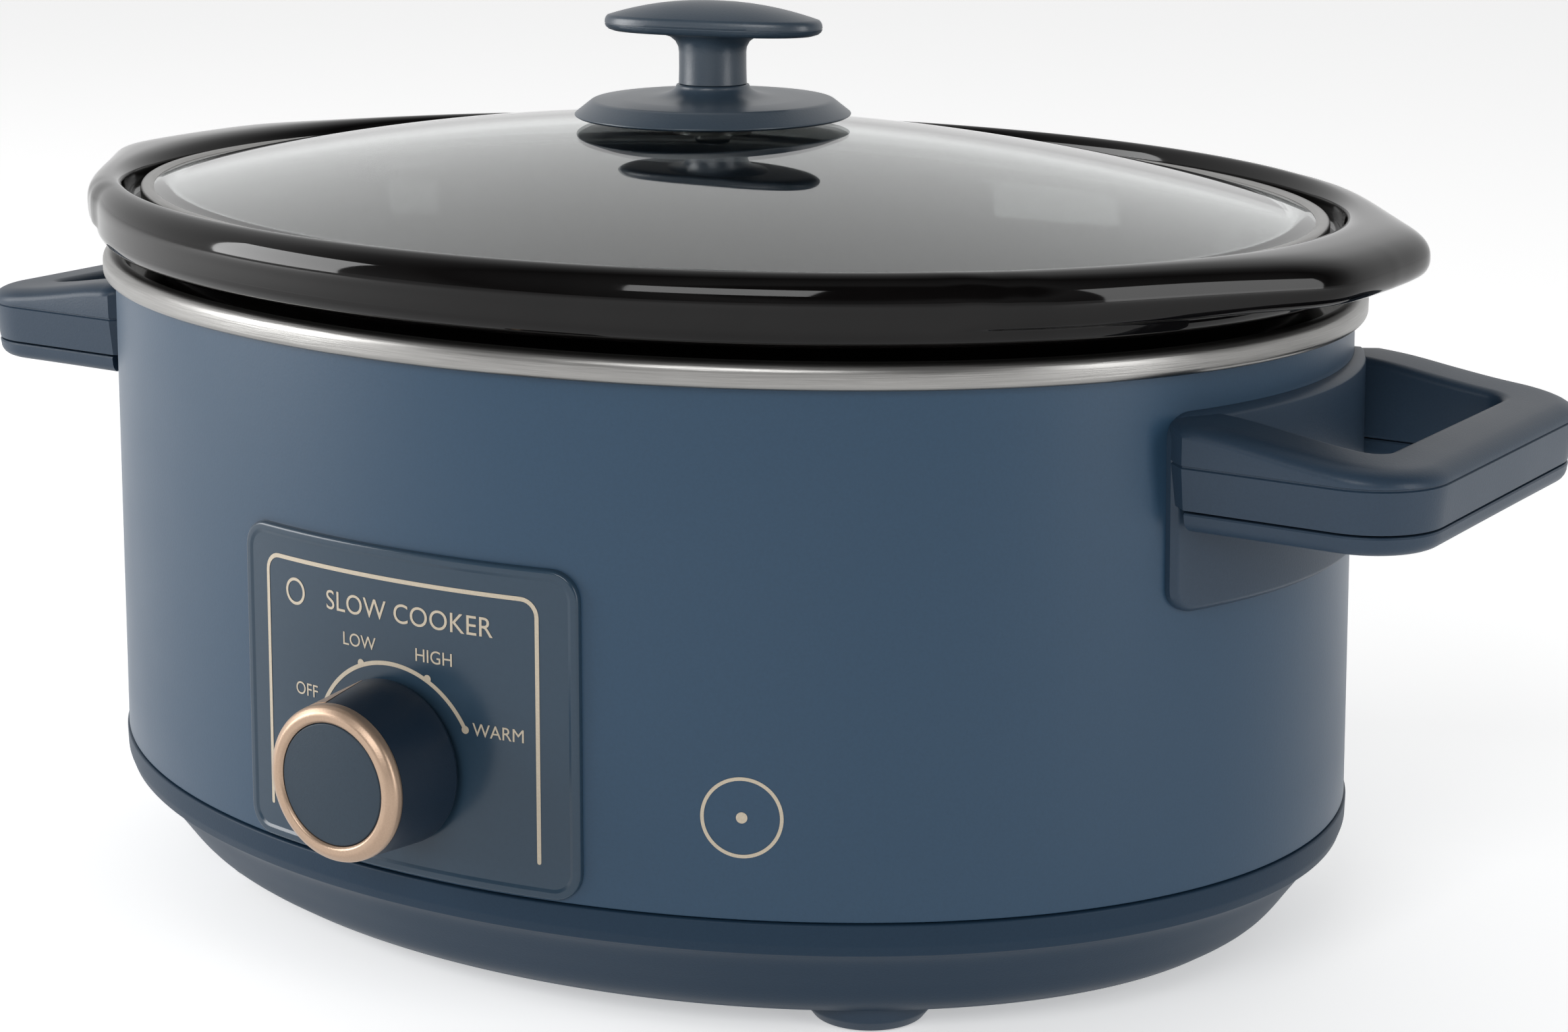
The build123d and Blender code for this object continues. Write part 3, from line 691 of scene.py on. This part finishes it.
def build_crock():
    """Each level is its inset, its height, and the share of the grips' reach that it has."""
    wall = [(29.0, 45.0, 0), (25.5, 45.8, 0), (22.5, 48.5, 0), (20.5, 52.0, 0), (15.0, 150.0, 0)]
    rim = smooth_path([(13.6, 162.0, 0), (12.4, 164.6, 0), (8.5, 165.6, 0), (4.0, 165.7, 0), (1.2, 166.0, 0),
                       (-0.9, 167.2, 0), (-1.9, 168.8, 0.0), (-2.1, 169.9, 0.06), (-2.12, 170.3, 0.35),
                       (-2.13, 170.7, 0.72), (-2.14, 171.6, 0.9), (-2.14, 173.4, 0.985),
                       (-2.13, 175.6, 1.0), (-1.9, 177.6, 0.985), (-1.2, 179.5, 0.93), (0.0, 181.0, 0.82),
                       (1.4, 181.9, 0.62), (2.6, 182.2, 0.38), (3.6, 182.1, 0.18), (4.5, 181.4, 0.06),
                       (5.2, 180.2, 0.01), (5.6, 178.6, 0), (5.9, 176.4, 0)], 4)
    inside = [(6.6, 174.6, 0), (7.4, 174.3, 0), (17.4, 174.3, 0), (18.4, 173.6, 0), (19.6, 168.0, 0),
              (22.5, 150.0, 0), (28.6, 62.0, 0), (30.5, 57.0, 0), (34.5, 53.4, 0), (41.0, 52.0, 0),
              (70.0, 52.0, 0)]
    rings = []
    for inset, z, share in wall + list(rim) + inside:
        ring = oval_ring(inset, z)
        if share > 0:
            ring[:, 0] += np.sign(ring[:, 0]) * lug_reach(ring[:, 1]) * share
        rings.append(ring)
    verts, faces = loft_rings(rings, cap=(True, True))
    make_piece("stoneware_crock", verts, faces, "crock_pot", glaze, ["crock"], sharp=50)


# ---- lid ----


BAND_WALL = 0.75            # the glass sits this far inside the band, at its edge, top and bottom
DOME_INSET, UNDER_INSET = 2.9, 7.0
DOME_POWER = 1.85
EDGE_TOP_Z = BAND_TOP_Z - BAND_WALL
DOME_RISE = GLASS_TOP_Z - EDGE_TOP_Z


def dome_rings(inset, edge_z, rise, shares):
    """Ovals up a shallow dome, each a share of the size of its edge."""
    a, b = LID_A - inset, LID_B - inset
    return [oval_ring(0, edge_z + rise * (1 - u ** DOME_POWER), a * u, b * u) for u in shares]


def build_glass():
    low = LID_LOW_Z + BAND_WALL
    edge = rounded([(BAND_WALL, low), (BAND_WALL, EDGE_TOP_Z, 0.4), (DOME_INSET, EDGE_TOP_Z)], closed=False)
    rings = [oval_ring(inset, z, LID_A, LID_B) for inset, z in edge]
    rings += dome_rings(DOME_INSET, EDGE_TOP_Z, DOME_RISE, np.linspace(0.985, 0.06, 40))
    rings += dome_rings(UNDER_INSET, low, DOME_RISE - 0.2, np.linspace(0.06, 1.0, 40))
    verts, faces = loft_rings(rings, loop=True)
    make_piece("lid_dome", verts, faces, "lid", glass, ["lid_glass"], sharp=60)


def build_band():
    band = rounded([(0.5, LID_LOW_Z, 0.3), (0.0, LID_LOW_Z + 0.8, 0.3), (0.0, BAND_TOP_Z, 1.3),
                    (2.2, BAND_TOP_Z + 0.1, 0.9), (3.5, BAND_TOP_Z - 0.55, 0.2), (3.4, BAND_TOP_Z - 0.7),
                    (0.72, BAND_TOP_Z - 0.7), (0.72, LID_LOW_Z + 0.7), (3.4, LID_LOW_Z + 0.7),
                    (3.4, LID_LOW_Z)])
    verts, faces = oval_loft(band, LID_A, LID_B)
    make_piece("lid_rim", verts, faces, "lid", steel, ["lid_band"], sharp=50)


def build_flange():
    rim = rounded([(34.4, SEAT_Z), (35.3, SEAT_Z + 0.5, 0.3), (30.6, SEAT_Z + 4.2, 2.6),
                   (24.0, SEAT_Z + 4.8)], closed=False, steps=7)
    sweep = smooth_path([(24.0, SEAT_Z + 4.8), (17.0, SEAT_Z + 4.9), (13.6, SEAT_Z + 5.2),
                         (11.2, SEAT_Z + 5.9), (9.7, SEAT_Z + 6.9), (9.2, STEM_Z - 0.15)], 5)
    profile = [(2.4, SEAT_Z), *rim, *sweep[1:], (8.9, STEM_Z), (2.4, STEM_Z)]
    verts, faces = lathe(profile, n=160)
    # The skirt takes the lighter copy of the blue plastic, with painted sheen in its colour.
    make_piece("knob_skirt", verts, faces, "lid", lit_lid_blue, ["lid_knob_flange"], sharp=40)


BAR_TURN = 10.0             # degrees that the bar is turned from the long axis
BAR_LOW_Z = 219.2
BAR_HALF_LENGTH, BAR_HALF_WIDTH = 29.4, 11.8


def bar_outline(n=192):
    """Plan of the bar: wide in the middle, with blunt rounded ends."""
    t = np.linspace(0, 2 * math.pi, n, endpoint=False)
    c, s = np.cos(t), np.sin(t)
    x = BAR_HALF_LENGTH * np.sign(c) * np.abs(c) ** 0.74
    y = BAR_HALF_WIDTH * np.sign(s) * np.abs(s) ** 0.92
    return x, y


def bar_solid():
    """The bar: a soft lower edge with a fine parting line, and a low crown on top."""
    x, y = bar_outline()
    # Share of the outline and height above the bar's underside, up to the shoulder.
    edge = [(0.03, 0), (0.3, 0), (0.6, 0), (0.84, 0), (0.92, 0.1), (0.965, 0.5), (0.99, 1.1), (1.0, 1.7),
            (0.994, 1.8), (0.994, 1.95), (1.0, 2.05), (0.998, 2.8), (0.99, 3.4), (0.973, 3.95)]
    last_share, last_lift = edge[-1]
    shoulder = BAR_LOW_Z + last_lift
    levels = [(share, BAR_LOW_Z + lift) for share, lift in edge]
    for share in (0.94, 0.89, 0.82, 0.73, 0.62, 0.5, 0.37, 0.24, 0.12, 0.03):
        crown = (BAR_TOP_Z - shoulder) * (1 - (share / last_share) ** 2.1)
        levels.append((share, shoulder + crown))
    rings = [np.column_stack([x * share, y * share, np.full(len(x), z)]) for share, z in levels]
    return loft_rings(rings, cap=(True, True))


def neck_solid():
    """The stem: half-sizes along and across the bar, at heights above its foot."""
    levels = [(8.4, 8.0, 0.02), (8.7, 8.3, 0.25), (8.6, 8.2, 4), (8.6, 8.2, 8), (8.8, 8.3, 9.4),
              (9.6, 8.6, 10.8), (11.2, 9.2, 11.9), (14.5, 9.8, 12.6), (14.5, 9.8, 13.4)]
    rings = [circle_ring(1, STEM_Z + lift) * [half_x, half_y, 1] for half_x, half_y, lift in levels]
    return loft_rings(rings, cap=(True, True))


def build_grip():
    verts, faces = joined([bar_solid(), neck_solid()])
    x, y, z = verts.T
    c, s = math.cos(math.radians(BAR_TURN)), math.sin(math.radians(BAR_TURN))
    spun = np.column_stack([x * c - y * s, x * s + y * c, z])
    # The grip takes the lighter copy of the blue plastic, with painted sheen in its colour.
    make_piece("lid_bar_grip", spun, faces, "lid", lit_lid_blue, ["lid_knob_grip"], sharp=40)


# ---- handles ----

HANDLE_HALF, HANDLE_CORNER = 55.2, 18.5
GAP_HALF, GAP_X, GAP_CORNER = 37.2, 200.0, 5.0
ROOT_HALF, ROOT_X, FLARE_X = 50.3, 156.5, 161.3
PLATE_CORNER = 5.5
GROOVE_Z = 137.9
# The top's height along the handle, from the wall to the tip.
TOP_LINE = smooth_path([(150, 148.1), (160, 147.5), (170, 146.6), (182, 144.7), (193, 143.1), (205, 141.9),
                        (216, 141.4)])


def half_path(stretches):
    """U-shaped line in plan from its +Y half. A stretch is (start, end, radius, steps), and is straight where
    its radius is 0."""
    line = []
    for start, end, radius, steps in stretches:
        start, end = np.array(start, float), np.array(end, float)
        for k in range(steps):
            t = k / steps
            if radius:
                a = math.pi / 2 * (1 - t)
                centre = np.array([start[0], end[1]])
                line.append(centre + [radius * math.cos(a), radius * math.sin(a)])
            else:
                line.append(start + (end - start) * t)
    line.append(end)
    half = np.array(line)
    return np.vstack([half, half[-2::-1] * [1, -1]])


def handle_paths(start_x, start_half, inner_start_x):
    """Outer and inner edges of the U in plan, with equal counts, so that their points pair up."""
    r, q, reach = HANDLE_CORNER, GAP_CORNER, HANDLE_REACH
    flare_half, inner_turn_x = HANDLE_HALF - 0.2, inner_start_x + 3
    outer = half_path([((start_x, start_half), (FLARE_X, flare_half), 0, 4),
                       ((FLARE_X, flare_half), (reach - r, HANDLE_HALF), 0, 12),
                       ((reach - r, HANDLE_HALF), (reach, HANDLE_HALF - r), r, 14),
                       ((reach, HANDLE_HALF - r), (reach, 0), 0, 12)])
    inner = half_path([((inner_start_x, GAP_HALF), (inner_turn_x, GAP_HALF), 0, 4),
                       ((inner_turn_x, GAP_HALF), (GAP_X - q, GAP_HALF), 0, 12),
                       ((GAP_X - q, GAP_HALF), (GAP_X, GAP_HALF - q), q, 14),
                       ((GAP_X, GAP_HALF - q), (GAP_X, 0), 0, 12)])
    return outer, inner


def handle_top(x):
    return np.interp(x, TOP_LINE[:, 0], TOP_LINE[:, 1])


def u_solid(outer, inner, outer_side, inner_side):
    """Solid between two U-shaped edges. A side is (inset, height, hung) points from the bottom up, and the
    height of a hung point is measured from the handle's sloping top."""
    rings = []
    for o, i in zip(outer, inner):
        across = (i - o) / np.linalg.norm(i - o)
        ring = []
        for start, direction, side in ((o, across, outer_side), (i, -across, inner_side[::-1])):
            for inset, height, hung in side:
                x, y = start + direction * inset
                ring.append((x, y, height + (handle_top(x) if hung else 0.0)))
        rings.append(ring)
    return loft_rings(rings, cap=(True, True))


def quarter_turns(steps):
    return [math.pi / 2 * k / steps for k in range(steps + 1)]


def roundover(radius_in, radius_down):
    """Edge that rolls over from a side to the top, as points of a side for u_solid."""
    return [(radius_in * (1 - math.cos(a)), radius_down * (math.sin(a) - 1), True) for a in quarter_turns(9)]


def handle_body():
    """The U with its groove, and the wall plate that it grows out of. The arms lean in below the groove."""
    seam = HANDLE_SEAM_Z
    outer_side = [(1.9, seam + 0.35, False), (1.25, seam + 0.5, False), (1.15, seam + 1.0, False),
                  (0.05, GROOVE_Z - 0.45, False), (0.45, GROOVE_Z - 0.15, False),
                  (0.45, GROOVE_Z + 0.15, False), (0.05, GROOVE_Z + 0.3, False)]
    outer_side += roundover(5.6, 3.3)[:-1] + [(7.0, 0.0, True)]
    inner_side = [(1.0, seam + 0.35, False), (0.3, seam + 1.0, False), (0.0, GROOVE_Z, False)]
    inner_side += roundover(2.8, 2.2)
    outer, inner = handle_paths(ROOT_X - 1.0, ROOT_HALF - 0.4, 159.6)
    grip = u_solid(outer, inner, outer_side, inner_side)
    edge = rounded([(0.0, 0.05), (0.1, 1.6), (1.3, 3.0, 1.0), (4.0, 3.0)], closed=False, steps=7)
    return joined([grip, plate_on(on_end, ROOT_HALF, PLATE_LOW_Z, PLATE_HIGH_Z, PLATE_CORNER, edge)])


def handle_underside():
    side = [(1.3 + 3.0 * (1 - math.sin(a)), COVER_LOW_Z + 3.2 * (1 - math.cos(a)), False)
            for a in quarter_turns(6)]
    seam = HANDLE_SEAM_Z
    side += [(1.15, seam - 0.5, False), (1.4, seam - 0.1, False), (2.0, seam, False)]
    outer, inner = handle_paths(FLARE_X + 0.3, HANDLE_HALF - 0.9, 163.9)
    return u_solid(outer, inner, side, side)


def build_handle(side, mirror_x):
    name = f"handle_{side}"
    for piece, shape, cad_node in ((name, handle_body(), name + "_body"),
                                   (name + "_underside", handle_underside(), name + "_cover")):
        verts, faces = shape
        make_piece(piece, verts, faces, "base_unit", plastic, [cad_node], 40, mirror_x)


build_base()
build_feet()
build_shell()
build_well()
build_panel()
build_frame_line()
build_dial()
build_words()
build_wall_mark()
build_barrel()
build_ring()
build_face()
build_pointer()
build_crock()
build_glass()
build_band()
build_flange()
build_grip()
build_handle("right", False)
build_handle("left", True)

# ---- floor, light and camera ----


def grey(shade):
    return (shade, shade, shade, 1)


def plain_material(name, shade, roughness, glow):
    mat = bpy.data.materials.new(name)
    mat.use_nodes = True
    shader = mat.node_tree.nodes["Principled BSDF"]
    set_inputs(shader, {"Base Color": grey(shade), "Roughness": roughness, "Emission Color": grey(1),
                        "Emission Strength": glow})
    return mat


FLOOR_HALF = 6.0


def build_floor():
    mesh = bpy.data.meshes.new("floor")
    signs = [(-1, -1), (1, -1), (1, 1), (-1, 1)]
    mesh.from_pydata([(x * FLOOR_HALF, y * FLOOR_HALF, 0) for x, y in signs], [], [(0, 1, 2, 3)])
    floor = bpy.data.objects.new("floor", mesh)
    bpy.context.scene.collection.objects.link(floor)
    mesh.materials.append(plain_material("floor_white", shade=0.92, roughness=0.9, glow=0.42))


# The studio's brightness goes by how far a direction leans towards STUDIO_BACK, which points behind the
# object and down. Each shade is (lean, brightness). The vector is slightly long, so a lean can pass 1.
STUDIO_BACK = (-0.49, 0.75, -0.55)
STUDIO_REACH = 1.1
STUDIO_SHADES = ((-0.98, 0.05), (-0.90, 0.34), (-0.75, 0.22), (-0.55, 0.08), (-0.3, 0.4), (0.0, 0.85),
                 (0.2, 0.9))
STUDIO_DARKEST, STUDIO_BRIGHTEST = 0.03, 0.9


def soft_light(name, place, aim, width, height, power):
    data = bpy.data.lights.new(name, "AREA")
    data.shape = "RECTANGLE"
    data.size, data.size_y = width, height
    data.energy = power
    lamp = bpy.data.objects.new(name, data)
    lamp.location = place
    direction = Vector(aim) - Vector(place)
    lamp.rotation_euler = direction.to_track_quat("-Z", "Y").to_euler()
    bpy.context.scene.collection.objects.link(lamp)


def build_world():
    """Studio round the object: bright behind it and at the sides, dim in front, dark above."""
    world = bpy.data.worlds.new("studio")
    bpy.context.scene.world = world
    world.use_nodes = True
    tree = world.node_tree
    link = tree.links.new
    sky = tree.nodes["Background"]
    place = new_node(tree, "ShaderNodeTexCoord")
    lean = new_node(tree, "ShaderNodeVectorMath")
    lean.operation = "DOT_PRODUCT"
    lean.inputs[1].default_value = STUDIO_BACK
    link(place.outputs["Generated"], lean.inputs[0])
    span = new_node(tree, "ShaderNodeMapRange", {"From Min": -STUDIO_REACH, "From Max": STUDIO_REACH})
    link(lean.outputs["Value"], span.inputs["Value"])
    shades = new_node(tree, "ShaderNodeValToRGB")
    stops = shades.color_ramp.elements
    stops[0].position, stops[1].position = 0.0, 1.0
    for where, shade in STUDIO_SHADES:
        stops.new((where + STUDIO_REACH) / (2 * STUDIO_REACH)).color = grey(shade)
    stops[0].color = grey(STUDIO_DARKEST)
    stops[-1].color = grey(STUDIO_BRIGHTEST)
    link(span.outputs["Result"], shades.inputs["Fac"])
    link(shades.outputs["Color"], sky.inputs["Color"])


def build_light():
    build_world()
    middle = (0, 0, 0.1)
    soft_light("key_left", (-1.6, -1.1, 0.55), middle, 0.9, 1.0, 26)
    soft_light("fill_front", (0.5, -2.2, 1.3), middle, 1.2, 0.8, 22)
    soft_light("right", (1.9, -0.3, 0.6), middle, 0.6, 1.2, 12)


CAMERA_AZIMUTH, CAMERA_ELEVATION = math.radians(33.25), math.radians(13.924)
CAMERA_LENS, CAMERA_SENSOR = 74.8, 36.0
CAMERA_PLACE = (0.4687, -0.6820 + CENTRE_Y * MM, 0.2987)


def build_camera():
    data = bpy.data.cameras.new("camera")
    data.sensor_width = CAMERA_SENSOR
    data.lens = CAMERA_LENS
    data.clip_start, data.clip_end = 0.05, 50
    camera = bpy.data.objects.new("camera", data)
    flat = math.cos(CAMERA_ELEVATION)
    forward = Vector((-math.sin(CAMERA_AZIMUTH) * flat, math.cos(CAMERA_AZIMUTH) * flat,
                      -math.sin(CAMERA_ELEVATION)))
    camera.location = CAMERA_PLACE
    camera.rotation_mode = "QUATERNION"
    camera.rotation_quaternion = forward.to_track_quat("-Z", "Y")
    bpy.context.scene.collection.objects.link(camera)
    bpy.context.scene.camera = camera


build_floor()
build_light()
build_camera()
bpy.context.scene.view_settings.view_transform = "Standard"
